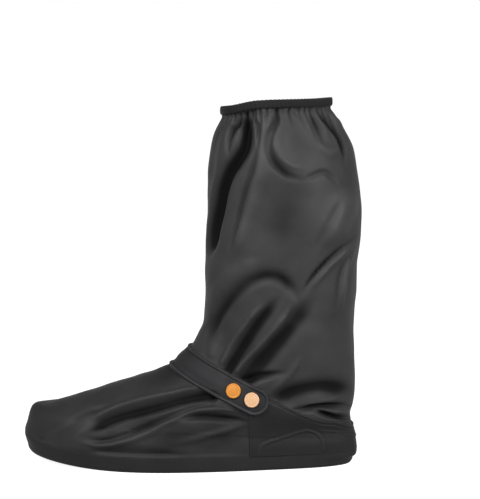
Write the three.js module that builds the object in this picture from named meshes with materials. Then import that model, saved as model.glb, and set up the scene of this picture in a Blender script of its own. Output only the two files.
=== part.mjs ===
// A waterproof boot cover that is pulled over a shoe: a moulded outsole, a cloth foot, a tall gathered shaft,
// a heel counter, an instep strap closed by two snap caps, and a zip under a placket on the inner side.
// It is a left cover. Millimetres, +X towards the heel, -Y towards the outer side, +Z up.
import * as THREE from "three";
import { mergeVertices } from "three/addons/utils/BufferGeometryUtils.js";

// Driving sizes of the foot.
const FOOT_LENGTH = 325;
const FOOT_WIDTH = 117;
const INSTEP_HEIGHT = 103;
const COUNTER_HEIGHT = 44;
const COUNTER_REACH = 102;
const COUNTER_SLOPE = 0.58;
const COUNTER_CLIMB = 0.79;
const TOE_SPRING = 11;
const TOE_SWING = 5;

// Driving sizes of the shaft. The setback is its axis behind the middle of the foot.
const SHAFT_DEPTH = 148;
const SHAFT_WIDTH = 118;
const SHAFT_SETBACK = 92;
const SHAFT_HEIGHT = 345;

// Walls.
const SOLE_PLATE = 5;
const RAND_WALL = 1.6;
const RAND_HEIGHT = 14;
const CLOTH_WALL = 1.2;
const COUNTER_WALL = 1.6;
const STRAP_WALL = 1.5;
const PLACKET_WALL = 1.3;
const BAND_WALL = 3.4;
const TAB_WALL = 1.2;
const ZIP_WALL = 1.6;

// Clearances: between butted edges, and between a layer and what it lies on.
const SEAM_GAP = 0.35;
const LAP_GAP = 0.8;
const SNAP_GAP = 0.6;

// Trim.
const BAND_HEIGHT = 9.5;
const TAB_LENGTH = 34;
const STRAP_WIDTH = 26;
const STRAP_SLOPE = 0.45;
const STRAP_LENGTH = 87;
const STRAP_ROOT_LENGTH = 90;
const STRAP_STEP_LENGTH = 16;
const COUNTER_ROUNDING = 16;
const SNAP_DIAMETER = 14;
const SNAP_HEIGHT = 2.2;
const SNAP_SPACING = 18;
const SNAP_SETBACK = 16;
const BAND_SNAP_DIAMETER = 8.6;
const PLACKET_WIDTH = 21;
const PLACKET_ANGLE = THREE.MathUtils.degToRad(57);
const PLACKET_FOOT = 84;
const ZIP_WIDTH = 4.5;
const SLIDER_LENGTH = 11;
const SLIDER_WIDTH = 6;
const SLIDER_WALL = 1.4;

// Folds and gathers: how deep and wide a fold of size one is.
const FOLD_DEPTH = 6;
const FOLD_WIDTH = 11;
const FOLD_CLEAR = 7;
const FOLD_FADE = 12;
const FOLD_SIDE_START = 4;
const FOLD_SIDE_FULL = 22;
const GATHER_DEPTH = 2.4;
const GATHER_COUNT = 15;
const GATHER_REACH = 34;

// Facets.
const AROUND = 56;
const SHAFT_ROWS = 16;
const FOOT_ROWS = 16;
const COUNTER_GRID = { columns: 28, rows: 7 };
const STRAP_GRID = { columns: 26, rows: 7 };
const PLACKET_GRID = { columns: 2, rows: 16 };
const SNAP_SIDES = 16;
const RIM_POINTS = 8;

const HALF_LENGTH = FOOT_LENGTH / 2;
const HALF_WIDTH = FOOT_WIDTH / 2;
const HALF_DEPTH = SHAFT_DEPTH / 2;
const SHAFT_RISE = SHAFT_HEIGHT - INSTEP_HEIGHT;
const BACK_RISE = SHAFT_HEIGHT - COUNTER_HEIGHT;
const COUNTER_FRONT = HALF_LENGTH - COUNTER_REACH;
const OUTER = -1;
const INNER = 1;

// Rows under named columns.
function table(columns, ...rows) {
  return rows.map((row) => Object.fromEntries(columns.map((column, i) => [column, row[i]])));
}

// The foot's sections, as tilted loops from front to back. frontX, backX: shares of half the foot's length.
// frontZ: share of the instep's height. backZ: share of the counter's height.
// wide: share of half the foot's width. square: how square the outline is.
// taper: how much narrower the heel is. sag: how far the sides dip, as a share of the instep's height.
const FOOT_SECTIONS = table(
  ["name", "frontX", "frontZ", "backX", "backZ", "wide", "square", "taper", "sag"],
  ["feather_edge", -0.968, 0.055, 0.972, 0.127, 0.94, 2.4, 0.25, 0],
  ["rand_top", -0.985, 0.155, 0.988, 0.32, 0.97, 2.4, 0.25, 0],
  ["toe_wall", -0.972, 0.25, 0.995, 0.5, 0.985, 2.35, 0.25, 0],
  ["toe_top", -0.935, 0.425, 0.992, 0.63, 0.96, 2.3, 0.245, 0.005],
  ["toe_dip", -0.83, 0.476, 0.988, 0.68, 0.95, 2.25, 0.24, 0.01],
  ["vamp_low", -0.73, 0.54, 0.984, 0.71, 0.935, 2.2, 0.23, 0.015],
  ["vamp_middle", -0.52, 0.68, 0.98, 0.77, 0.915, 2.15, 0.22, 0.03],
  ["vamp_high", -0.31, 0.79, 0.978, 0.82, 0.9, 2.1, 0.21, 0.045],
  ["instep", -0.1, 0.915, 0.976, 0.875, 0.89, 2.05, 0.195, 0.06],
  ["ankle_seam", -0.043, 1, 0.974, 0.95, 0.885, 2.05, 0.175, 0.068],
);

// The shaft's sections above the ankle seam. frontX, backX: shares of half the shaft's depth from its axis.
// frontZ, backZ: shares of the shaft's rise in front and at the back. wide: share of half the shaft's width.
const SHAFT_SECTIONS = table(
  ["name", "frontX", "frontZ", "backX", "backZ", "wide", "square", "taper", "sag"],
  ["instep_bend", -1.21, 0.036, 0.883, 0.018, 0.86, 2.04, 0.14, 0.06],
  ["ankle_front", -1.097, 0.093, 0.915, 0.053, 0.88, 2.02, 0.1, 0.05],
  ["ankle_bulge", -1.027, 0.142, 0.945, 0.115, 0.91, 2, 0.06, 0.035],
  ["low", -1.02, 0.225, 0.93, 0.215, 0.95, 2, 0.03, 0.015],
  ["lower_middle", -1.013, 0.325, 0.927, 0.335, 0.98, 2, 0, 0],
  ["middle", -1, 0.445, 0.965, 0.49, 1, 2, 0, 0],
  ["belly", -0.98, 0.57, 1.01, 0.63, 1, 2, 0, 0],
  ["upper_middle", -0.973, 0.675, 0.986, 0.717, 0.985, 2, 0, 0],
  ["shoulder", -0.966, 0.76, 0.94, 0.8, 0.96, 2, 0, 0],
  ["neck", -0.932, 0.84, 0.872, 0.875, 0.91, 2, 0, 0],
  ["gathers", -0.862, 0.9, 0.75, 0.932, 0.85, 2, 0, 0],
  ["band_foot", -0.79, 0.945, 0.6, 0.984, 0.79, 2, 0, 0],
);

// The main folds, valleys where depth is negative, each along a line seen from the side.
// fromX, toX: shares of half the foot's length. fromZ, toZ: shares of the cover's height.
// side: -1 is the outer side, 1 the inner side. deep, wide: shares of the fold depth and width.
const FOLDS = table(
  ["name", "side", "fromX", "fromZ", "toX", "toZ", "deep", "wide"],
  ["gather_valley", -1, 0.33, 0.95, 0.3, 0.85, -1.1, 0.8],
  ["front_valley", -1, 0.3, 0.85, 0.165, 0.68, -1.2, 1],
  ["front_ridge", -1, 0.42, 0.83, 0.27, 0.62, 0.5, 1],
  ["back_gather", -1, 0.82, 0.94, 0.93, 0.84, -0.7, 0.8],
  ["flat_dent", -1, 0.52, 0.78, 0.42, 0.66, -0.5, 1.8],
  ["slant_ridge", -1, 0.9, 0.78, 0.75, 0.64, 0.4, 1.2],
  ["arch", -1, 0.53, 0.53, 0.3, 0.52, -0.6, 1],
  ["arch_front", -1, 0.3, 0.52, 0.15, 0.42, -0.6, 1],
  ["long_crease", -1, 0.95, 0.65, 0.66, 0.5, -0.6, 0.8],
  ["strap_valley", -1, 0.52, 0.48, 0.26, 0.33, -1.3, 0.9],
  ["strap_ridge", -1, 0.56, 0.44, 0.38, 0.32, 0.7, 0.8],
  ["ankle_valley", -1, 0.7, 0.46, 0.52, 0.34, -1, 1],
  ["heel_valley", -1, 0.6, 0.26, 0.93, 0.24, -0.9, 0.9],
  ["vamp_valley", -1, -0.62, 0.115, 0.04, 0.19, -1.1, 0.8],
  ["vamp_ridge", -1, -0.5, 0.085, 0.12, 0.14, 0.6, 0.7],
  ["inner_front", 1, 0.35, 0.95, 0.22, 0.62, -1, 1],
  ["inner_arch", 1, 0.55, 0.5, 0.28, 0.36, -1, 1.1],
  ["inner_heel", 1, 0.6, 0.24, 0.9, 0.2, -0.6, 0.8],
  ["inner_vamp", 1, -0.55, 0.12, 0.02, 0.19, -1, 0.8],
);

const clamp = THREE.MathUtils.clamp;
const lerp = THREE.MathUtils.lerp;
const smooth = THREE.MathUtils.smoothstep;

// Every section of foot and shaft in millimetres, from the feather edge to the foot of the band.
const sections = [
  ...FOOT_SECTIONS.map((row) => ({
    front: new THREE.Vector2(row.frontX * HALF_LENGTH, row.frontZ * INSTEP_HEIGHT),
    back: new THREE.Vector2(row.backX * HALF_LENGTH, row.backZ * COUNTER_HEIGHT),
    form: new THREE.Vector3(row.wide * HALF_WIDTH, row.square, row.taper),
    sag: row.sag * INSTEP_HEIGHT,
  })),
  ...SHAFT_SECTIONS.map((row) => ({
    front: new THREE.Vector2(
      SHAFT_SETBACK + row.frontX * HALF_DEPTH,
      INSTEP_HEIGHT + row.frontZ * SHAFT_RISE,
    ),
    back: new THREE.Vector2(
      SHAFT_SETBACK + row.backX * HALF_DEPTH,
      COUNTER_HEIGHT + row.backZ * BACK_RISE,
    ),
    form: new THREE.Vector3((row.wide * SHAFT_WIDTH) / 2, row.square, row.taper),
    sag: row.sag * INSTEP_HEIGHT,
  })),
];
const LAST = sections.length - 1;
const SEAM = FOOT_SECTIONS.length - 1;
const frontLine = new THREE.SplineCurve(sections.map((section) => section.front));
const backLine = new THREE.SplineCurve(sections.map((section) => section.back));
const forms = sections.map((section) => section.form);
const formLine = new THREE.CatmullRomCurve3(forms, false, "catmullrom", 0.5);
const sagLine = new THREE.SplineCurve(sections.map((section, i) => new THREE.Vector2(i, section.sag)));
const instep = sections[SEAM].front;

// The section at any level, from 0 at the feather edge to LAST at the foot of the band.
const knownSections = new Map();
function sectionAt(level) {
  if (!knownSections.has(level)) {
    const share = clamp(level / LAST, 0, 1);
    knownSections.set(level, {
      front: frontLine.getPoint(share),
      back: backLine.getPoint(share),
      form: formLine.getPoint(share),
      sag: sagLine.getPoint(share).y,
    });
  }
  return knownSections.get(level);
}

// How far the sole and toe curl up from the floor at a place along the foot.
function toeLift(x) {
  const curlStart = -0.3 * HALF_LENGTH;
  const along = Math.max(0, (curlStart - x) / (HALF_LENGTH + curlStart));
  return TOE_SPRING * along * along;
}

// How far the toe turns towards the inner side.
function toeSwing(x) {
  const along = Math.max(0, -x / HALF_LENGTH);
  return TOE_SWING * along * along;
}

// A point of the smooth cover, with no folds. The angle runs from the heel through the inner side to the toe.
function smoothPoint(angle, level) {
  const { front, back, form, sag } = sectionAt(level);
  const power = 2 / form.y;
  const along = Math.sign(Math.cos(angle)) * Math.abs(Math.cos(angle)) ** power;
  const aside = Math.sign(Math.sin(angle)) * Math.abs(Math.sin(angle)) ** power;
  const middle = front.clone().lerp(back, 0.5 + along / 2);
  const width = form.x * (1 - form.z * smooth(along, -0.3, 0.75));
  const onFoot = 1 - smooth(level, SEAM - 2, SEAM);
  return new THREE.Vector3(
    middle.x,
    aside * width + toeSwing(middle.x) * onFoot,
    middle.y - sag * Math.sin(angle) ** 2 + toeLift(middle.x) * onFoot,
  );
}

// The outward normal of the smooth cover.
function normalAt(angle, level) {
  const step = 1 / 512;
  const low = Math.max(0, Math.round(level / step - 1) * step);
  const high = Math.min(LAST, low + 2 * step);
  const around = smoothPoint(angle + step, level).sub(smoothPoint(angle - step, level));
  const up = smoothPoint(angle, high).sub(smoothPoint(angle, low));
  return around.cross(up).normalize();
}

// The height of the strap's middle line over the floor, seen from the side.
function strapHeight(x) {
  return instep.y - STRAP_SLOPE * (x - instep.x);
}
const STRAP_RISE = STRAP_WIDTH * Math.hypot(1, STRAP_SLOPE);

// The upper edge of the heel counter, seen from the side: level at the heel, then climbing towards the strap.
function counterTop(x) {
  const before = COUNTER_CLIMB * HALF_LENGTH - x;
  const climb = (COUNTER_SLOPE * (before + Math.hypot(before, COUNTER_ROUNDING))) / 2;
  return Math.min(COUNTER_HEIGHT + climb, strapHeight(x) + STRAP_RISE / 3);
}

// Nothing on the placket and zip, growing to one beside them.
function besidePlacket(angle) {
  const away = Math.abs(angle - PLACKET_ANGLE) * HALF_DEPTH - PLACKET_WIDTH / 2 - ZIP_WIDTH;
  return smooth(away, FOLD_CLEAR, FOLD_CLEAR + FOLD_FADE);
}

// How strongly folds show at a place: not under the strap or the counter, nor at the sole, seams and placket.
function foldShow(point, angle, level) {
  const reach = instep.x + (point.y > 0 ? STRAP_ROOT_LENGTH : STRAP_LENGTH);
  const fromStrap = Math.hypot(
    Math.max(0, Math.abs(point.z - strapHeight(point.x)) - STRAP_RISE / 2),
    Math.max(0, point.x - reach),
  );
  const fromCounter = Math.hypot(
    Math.max(0, point.z - counterTop(point.x)),
    Math.max(0, COUNTER_FRONT - point.x),
  );
  const shows = [
    smooth(fromStrap, FOLD_CLEAR, FOLD_CLEAR + FOLD_FADE),
    smooth(fromCounter, FOLD_CLEAR, FOLD_CLEAR + FOLD_FADE),
    besidePlacket(angle),
    smooth(level, 1, 2.2),
    1 - smooth(level, LAST - 0.7, LAST),
  ];
  return shows.reduce((product, show) => product * show, 1);
}

// The height of the main folds at a place.
function foldHeight(point) {
  let height = 0;
  const place = new THREE.Vector2(point.x, point.z);
  for (const fold of FOLDS) {
    const from = new THREE.Vector2(fold.fromX * HALF_LENGTH, fold.fromZ * SHAFT_HEIGHT);
    const to = new THREE.Vector2(fold.toX * HALF_LENGTH, fold.toZ * SHAFT_HEIGHT);
    const run = to.clone().sub(from);
    const share = clamp(place.clone().sub(from).dot(run) / run.lengthSq(), 0, 1);
    const away = from.addScaledVector(run, share).distanceTo(place) / (fold.wide * FOLD_WIDTH);
    const onSide = smooth(fold.side * point.y, FOLD_SIDE_START, FOLD_SIDE_FULL);
    height += fold.deep * FOLD_DEPTH * Math.exp(-away * away) * onSide;
  }
  return height;
}

// The height of the small pleats under the band, which fade downwards.
function gatherHeight(point, angle) {
  const below = (smoothPoint(angle, LAST).z - point.z) / GATHER_REACH;
  const fade = smooth(below, 0, 0.35) * Math.exp(-below * below);
  return GATHER_DEPTH * Math.cos(GATHER_COUNT * angle) * fade * besidePlacket(angle);
}

// A point on the folded cover, or at a distance outwards from it.
function coverPoint(angle, level, out = 0) {
  const point = smoothPoint(angle, level);
  const height = foldHeight(point) * foldShow(point, angle, level) + gatherHeight(point, angle);
  return point.addScaledVector(normalAt(angle, level), height + out);
}

// The level at which the line of an angle crosses a rule, which grows from negative to positive upwards.
function levelWhere(angle, rule) {
  let low = 0;
  let high = LAST;
  while (high - low > 1e-4) {
    const middle = (low + high) / 2;
    if (rule(smoothPoint(angle, middle)) < 0) low = middle;
    else high = middle;
  }
  return low;
}

// The angle on one side at which a rule's line reaches a place along the foot.
function angleWhere(side, x, rule) {
  let low = 0;
  let high = Math.PI;
  while (high - low > 1e-4) {
    const middle = (low + high) / 2;
    if (smoothPoint(side * middle, levelWhere(side * middle, rule)).x > x) low = middle;
    else high = middle;
  }
  return side * low;
}

// Moves every corner of a geometry and joins those that meet, which leaves one closed skin.
function bend(geometry, place) {
  geometry.deleteAttribute("normal");
  geometry.deleteAttribute("uv");
  const position = geometry.getAttribute("position");
  const point = new THREE.Vector3();
  for (let i = 0; i < position.count; i++) {
    const moved = place(point.fromBufferAttribute(position, i));
    position.setXYZ(i, moved.x, moved.y, moved.z);
  }
  const skin = mergeVertices(geometry, 1e-3);
  const corners = Array.from(skin.index.array);
  const faces = [];
  for (let i = 0; i < corners.length; i += 3) {
    const [a, b, c] = corners.slice(i, i + 3);
    if (a !== b && b !== c && c !== a) faces.push(a, b, c);
  }
  skin.setIndex(faces);
  skin.computeVertexNormals();
  return skin;
}

// A closed skin all round the foot or leg. Each station of its wall's outline is a function of the angle.
function ringWall(stations) {
  const last = stations.length - 1;
  const sheet = new THREE.PlaneGeometry(1, 1, AROUND, last);
  return bend(sheet, (point) => {
    const station = stations[Math.round((point.y + 0.5) * last)];
    const turn = Math.round((point.x + 0.5) * AROUND) % AROUND;
    return station((turn / AROUND) * 2 * Math.PI);
  });
}

// A tube of cloth between two levels, with its outside on the cover.
function clothTube(fromLevel, toLevel, rows) {
  const levels = Array.from({ length: rows + 1 }, (_, i) => lerp(fromLevel, toLevel, i / rows));
  const outside = levels.map((level) => (angle) => coverPoint(angle, level));
  const inside = levels.map((level) => (angle) => coverPoint(angle, level, -CLOTH_WALL)).reverse();
  return ringWall([...outside, ...inside, outside[0]]);
}

// A layer with a thickness, lying on the cover. place gives the angle and level of its shares along and up,
// and base the height of its underside.
function layer(grid, wall, base, place) {
  const block = new THREE.BoxGeometry(1, 1, 1, grid.columns, grid.rows, 1);
  return bend(block, (point) => {
    const { angle, level } = place(point.x + 0.5, point.y + 0.5);
    const under = base(smoothPoint(angle, level));
    return coverPoint(angle, level, under + (point.z + 0.5) * wall);
  });
}

// What a function of the share up gives for each row of corners of a grid.
function rowsOf(grid, make) {
  return Array.from({ length: grid.rows + 1 }, (_, row) => make(row / grid.rows));
}

// The outsole is a shallow cup: a plate, and a rand that stands round the foot of the cloth.
function outsole() {
  const inside = SEAM_GAP;
  const outside = SEAM_GAP + RAND_WALL;
  const edge = (angle, height, out) => {
    const level = levelWhere(angle, (point) => point.z - toeLift(point.x) - height);
    const outward = normalAt(angle, level).setZ(0).normalize();
    const point = smoothPoint(angle, level).addScaledVector(outward, out);
    return point.setZ(height + toeLift(point.x));
  };
  const wall = (height, out) => (angle) => edge(angle, height, out);
  const plate = (share, height, out) => (angle) => {
    const rim = edge(angle, SOLE_PLATE, out);
    const x = rim.x * share;
    const y = toeSwing(x) + (rim.y - toeSwing(rim.x)) * share;
    return new THREE.Vector3(x, y, height + toeLift(x));
  };
  return ringWall([
    plate(0, 0, 0),
    plate(0.4, 0, 0),
    plate(0.75, 0, 0),
    plate(1, 0, outside - SOLE_PLATE / 3),
    wall(SOLE_PLATE / 3, outside),
    wall(RAND_HEIGHT * 0.6, outside),
    wall(RAND_HEIGHT, inside + RAND_WALL / 2),
    wall(RAND_HEIGHT, inside),
    wall(SOLE_PLATE, inside),
    plate(0.75, SOLE_PLATE, inside),
    plate(0.4, SOLE_PLATE, inside),
    plate(0, SOLE_PLATE, inside),
  ]);
}

// The counter wraps the heel from the front edge of its outer tab to that of its inner one.
function heelCounter() {
  const footHeight = (x) => toeLift(x) + RAND_HEIGHT + SEAM_GAP;
  const rule = (up) => (point) => point.z - lerp(footHeight(point.x), counterTop(point.x), up);
  const ends = rowsOf(COUNTER_GRID, (up) => ({
    outer: angleWhere(OUTER, COUNTER_FRONT, rule(up)),
    inner: angleWhere(INNER, COUNTER_FRONT, rule(up)),
  }));
  return layer(COUNTER_GRID, COUNTER_WALL, () => LAP_GAP, (along, up) => {
    const { outer, inner } = ends[Math.round(up * COUNTER_GRID.rows)];
    const angle = lerp(outer, inner, along);
    return { angle, level: levelWhere(angle, rule(up)) };
  });
}

// The strap steps up from the cloth onto the counter's tabs.
function strapBase(point) {
  const stepEnd = COUNTER_FRONT - STRAP_STEP_LENGTH / 2;
  const onTab = smooth(point.x, stepEnd - STRAP_STEP_LENGTH, stepEnd);
  return LAP_GAP + (COUNTER_WALL + LAP_GAP) * onTab;
}

// The strap runs from its sewn root on the inner tab over the instep to a round end on the outer tab.
function instepStrap() {
  const rule = (up) => (point) => point.z - strapHeight(point.x) - (up - 0.5) * STRAP_RISE;
  const ends = rowsOf(STRAP_GRID, (up) => {
    const setBack = (STRAP_WIDTH / 2) * (1 - Math.sqrt(1 - (2 * up - 1) ** 2));
    const lean = (up - 0.5) * STRAP_WIDTH * STRAP_SLOPE;
    const root = angleWhere(INNER, instep.x + STRAP_ROOT_LENGTH + lean, rule(up));
    const tip = angleWhere(OUTER, instep.x + STRAP_LENGTH + lean - setBack, rule(up));
    return { root, tip: tip + 2 * Math.PI };
  });
  return layer(STRAP_GRID, STRAP_WALL, strapBase, (along, up) => {
    const { root, tip } = ends[Math.round(up * STRAP_GRID.rows)];
    const angle = lerp(root, tip, along);
    return { angle, level: levelWhere(angle, rule(up)) };
  });
}

// A place on the outside of the strap's outer end, along the foot and off the strap's middle line.
function onStrap(x, aside) {
  const rule = (point) => point.z - strapHeight(point.x) - aside;
  const angle = angleWhere(OUTER, x, rule);
  const level = levelWhere(angle, rule);
  const height = strapBase(smoothPoint(angle, level)) + STRAP_WALL;
  return { point: coverPoint(angle, level, height), outward: normalAt(angle, level) };
}

// A flat round cap with a soft rim, standing on its base at the origin and facing +Z.
function snapCap(diameter, height) {
  const radius = diameter / 2;
  const outline = new THREE.Path();
  outline.moveTo(0, 0);
  outline.lineTo(radius, 0);
  outline.lineTo(radius, height * 0.5);
  outline.quadraticCurveTo(radius, height, radius * 0.8, height);
  outline.lineTo(0, height * 0.9);
  const cap = new THREE.LatheGeometry(outline.getPoints(2), SNAP_SIDES);
  cap.rotateX(Math.PI / 2);
  return bend(cap, (point) => point);
}

// The band is an elastic casing, a ring that stands on the shaft's upper edge.
function bandPoint(angle, out, up) {
  const outward = normalAt(angle, LAST).setZ(0).normalize();
  const point = smoothPoint(angle, LAST).addScaledVector(outward, out - BAND_WALL / 2);
  return point.setZ(point.z + SEAM_GAP + up * BAND_HEIGHT);
}

function topBand() {
  const outline = [
    [0, 0],
    [0.85, 0],
    [1, 0.5],
    [0.85, 1],
    [0.15, 1],
    [0, 0],
  ];
  return ringWall(outline.map(([out, up]) => (angle) => bandPoint(angle, out * BAND_WALL, up)));
}

// The tab closes the band's ends over the zip and lies on the band's outside.
function bandTab() {
  const columns = 6;
  const block = new THREE.BoxGeometry(1, 1, 1, columns, 1, 1);
  const halfTurn = TAB_LENGTH / 2 / HALF_DEPTH;
  return bend(block, (point) => {
    const angle = PLACKET_ANGLE + point.x * 2 * halfTurn;
    const out = BAND_WALL + LAP_GAP + (point.z + 0.5) * TAB_WALL;
    return bandPoint(angle, out, 0.5 + point.y * 0.8);
  });
}

const ZIP_ANGLE = PLACKET_ANGLE - (PLACKET_WIDTH / 2 + SEAM_GAP + ZIP_WIDTH / 2) / HALF_DEPTH;

// Levels that the seam gap takes at the shaft's two ends.
const SEAM_LEVELS = 0.04;

// An upright strip on the shaft, between a height and a level, with corners rounded off at its foot.
function upright(grid, width, wall, middle, foot, top, base, roundFoot) {
  return layer(grid, wall, () => base, (along, up) => {
    const corner = (roundFoot * width * (1 - Math.sqrt(1 - (2 * along - 1) ** 2))) / 2;
    const low = levelWhere(middle, (point) => point.z - foot - corner);
    return { angle: middle + ((along - 0.5) * width) / HALF_DEPTH, level: lerp(low, top, up) };
  });
}

// The placket is a flap over the zip, from the band down to a round lower end.
function zipPlacket() {
  const top = LAST - SEAM_LEVELS;
  return upright(PLACKET_GRID, PLACKET_WIDTH, PLACKET_WALL, PLACKET_ANGLE, PLACKET_FOOT, top, LAP_GAP, 0.6);
}

// The zip shows as a narrow strip beside the placket's rear edge.
function zip() {
  const top = LAST - SEAM_LEVELS;
  const grid = { columns: 1, rows: PLACKET_GRID.rows };
  return upright(grid, ZIP_WIDTH, ZIP_WALL, ZIP_ANGLE, PLACKET_FOOT + PLACKET_WIDTH / 2, top, LAP_GAP, 0);
}

const finishes = {
  rubber: { color: 0x2b2c2e, roughness: 0.55, metalness: 0 },
  cloth: { color: 0x2e2f31, roughness: 0.48, metalness: 0 },
  band: { color: 0x262627, roughness: 0.8, metalness: 0 },
  strap: { color: 0x303034, roughness: 0.45, metalness: 0 },
  goldSnap: { color: 0xe9a352, roughness: 0.35, metalness: 0.6 },
  paleSnap: { color: 0xf0bd8c, roughness: 0.35, metalness: 0.6 },
  darkSnap: { color: 0x1d1d1f, roughness: 0.2, metalness: 0.3 },
  zip: { color: 0x1b1b1d, roughness: 0.6, metalness: 0 },
};

const cover = new THREE.Group();

function add(name, geometry, finish) {
  const mesh = new THREE.Mesh(geometry, new THREE.MeshStandardMaterial(finishes[finish]));
  mesh.name = name;
  cover.add(mesh);
  return mesh;
}

// Stands a piece on a point of the cover, with its +Z along the outward direction.
function seat(mesh, point, outward, lift) {
  mesh.position.copy(point).addScaledVector(outward, lift);
  mesh.quaternion.setFromUnitVectors(new THREE.Vector3(0, 0, 1), outward);
}

add("outsole", outsole(), "rubber");
add("foot_upper", clothTube(0, SEAM, FOOT_ROWS), "cloth");
add("shaft", clothTube(SEAM + SEAM_LEVELS, LAST - SEAM_LEVELS / 2, SHAFT_ROWS), "cloth");
add("heel_counter", heelCounter(), "cloth");
add("instep_strap", instepStrap(), "strap");
add("top_band", topBand(), "band");
add("zip_placket", zipPlacket(), "cloth");
add("zip", zip(), "zip");
add("band_tab", bandTab(), "band");

// Two snap caps on the strap's outer end. Each lies on what of the strap is proud under its rim.
const snapNames = ["snap_front", "snap_rear"];
snapNames.forEach((name, i) => {
  const cap = add(name, snapCap(SNAP_DIAMETER, SNAP_HEIGHT), i === 0 ? "goldSnap" : "paleSnap");
  const fromTip = SNAP_SETBACK + (1 - i) * SNAP_SPACING;
  const x = instep.x + STRAP_LENGTH - fromTip / Math.hypot(1, STRAP_SLOPE);
  const { point, outward } = onStrap(x, 0);
  const rim = Array.from({ length: RIM_POINTS }, (_, k) => {
    const turn = (k / RIM_POINTS) * 2 * Math.PI;
    return onStrap(x + (SNAP_DIAMETER / 2) * Math.cos(turn), (SNAP_DIAMETER / 2) * Math.sin(turn)).point;
  });
  const proud = rim.map((place) => place.sub(point).dot(outward));
  seat(cap, point, outward, Math.max(0, ...proud) + SNAP_GAP);
});

// One dark snap cap on the band's tab.
const bandSnap = add("band_snap", snapCap(BAND_SNAP_DIAMETER, SNAP_HEIGHT), "darkSnap");
const bandOutward = normalAt(PLACKET_ANGLE, LAST).setZ(0).normalize();
seat(bandSnap, bandPoint(PLACKET_ANGLE, BAND_WALL, 0.5), bandOutward, LAP_GAP + TAB_WALL + SNAP_GAP);

// The slider stops at the zip's upper end.
const sliderTop = LAST - 2 * SEAM_LEVELS;
const sliderFoot = smoothPoint(ZIP_ANGLE, sliderTop).z - SLIDER_LENGTH;
add(
  "zip_slider",
  upright(
    { columns: 1, rows: 2 },
    SLIDER_WIDTH,
    SLIDER_WALL,
    ZIP_ANGLE,
    sliderFoot,
    sliderTop,
    LAP_GAP + ZIP_WALL + LAP_GAP,
    0,
  ),
  "darkSnap",
);

// The part's origin is the middle of its box, on the floor.
const bounds = new THREE.Box3().setFromObject(cover, true);
const middle = bounds.getCenter(new THREE.Vector3());
cover.position.set(-middle.x, -middle.y, -bounds.min.z);

export default cover;
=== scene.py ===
import math

import bmesh
import bpy
import numpy as np
from mathutils import Matrix, Vector, noise


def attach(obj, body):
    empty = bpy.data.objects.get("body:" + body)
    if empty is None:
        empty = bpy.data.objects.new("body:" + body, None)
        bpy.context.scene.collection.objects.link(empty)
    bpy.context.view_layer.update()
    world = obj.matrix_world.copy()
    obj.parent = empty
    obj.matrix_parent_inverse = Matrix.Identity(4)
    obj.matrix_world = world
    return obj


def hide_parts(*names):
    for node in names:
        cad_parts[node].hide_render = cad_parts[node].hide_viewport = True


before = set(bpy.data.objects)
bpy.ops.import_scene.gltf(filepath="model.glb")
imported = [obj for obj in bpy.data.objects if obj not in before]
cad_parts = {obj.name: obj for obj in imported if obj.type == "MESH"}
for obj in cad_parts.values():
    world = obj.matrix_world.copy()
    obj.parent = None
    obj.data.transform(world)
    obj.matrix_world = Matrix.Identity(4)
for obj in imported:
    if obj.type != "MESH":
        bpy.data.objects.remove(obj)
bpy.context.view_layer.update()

# Lengths in the code are in millimetres in the pattern's own frame, and become metres when a piece is made.
MM = 0.001
ORIGIN = np.array([2.65, 0.032, 0.0])  # where the part's origin lies in the pattern's frame
FOOT_LENGTH, FOOT_WIDTH, INSTEP_HEIGHT, COUNTER_HEIGHT = 325, 117, 103, 44
SHAFT_DEPTH, SHAFT_WIDTH, SHAFT_SETBACK, SHAFT_HEIGHT = 148, 118, 92, 345
HALF_LENGTH, HALF_DEPTH = FOOT_LENGTH / 2, SHAFT_DEPTH / 2
TOE_SPRING, TOE_SWING, RAND_HEIGHT = 11, 5, 14
# The counter's reach is from the heel to its front edge, and the strap's from the instep to its tip and root.
COUNTER_REACH, COUNTER_SLOPE, COUNTER_CLIMB = 102, 0.58, 0.79
COUNTER_FRONT = HALF_LENGTH - COUNTER_REACH
STRAP_WIDTH, STRAP_SLOPE, STRAP_REACH, STRAP_ROOT_REACH = 26, 0.45, 85, 90
STRAP_STEP, SNAP_SETBACK, SNAP_GAP = 16, 16, 18
BAND_WALL, BAND_HEIGHT, BAND_LIFT = 3.4, 9.5, 1.6
PLACKET_ANGLE, PLACKET_WIDTH, PLACKET_FOOT, ZIP_WIDTH = math.radians(57), 21, 84, 4.5
ZIP_ANGLE = PLACKET_ANGLE - (PLACKET_WIDTH / 2 + 0.35 + ZIP_WIDTH / 2) / HALF_DEPTH
OUTER, INNER = -1, 1

# The foot's sections from the feather edge to the ankle seam, then the shaft's up to the foot of the band.
# Front and back are places seen from the side. Then come half the width, squareness, heel taper and side dip.
FOOT_SECTIONS = [
    (-0.968, 0.055, 0.972, 0.127, 0.94, 2.4, 0.25, 0),
    (-0.985, 0.155, 0.988, 0.32, 0.97, 2.4, 0.25, 0),
    (-0.972, 0.25, 0.995, 0.5, 0.985, 2.35, 0.25, 0),
    (-0.935, 0.425, 0.992, 0.63, 0.96, 2.3, 0.245, 0.005),
    (-0.83, 0.476, 0.988, 0.68, 0.95, 2.25, 0.24, 0.01),
    (-0.73, 0.54, 0.984, 0.71, 0.935, 2.2, 0.23, 0.015),
    (-0.52, 0.68, 0.98, 0.77, 0.915, 2.15, 0.22, 0.03),
    (-0.31, 0.79, 0.978, 0.82, 0.9, 2.1, 0.21, 0.045),
    (-0.1, 0.915, 0.976, 0.875, 0.89, 2.05, 0.195, 0.06),
    (-0.043, 1, 0.974, 0.95, 0.885, 2.05, 0.175, 0.068),
]
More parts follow.
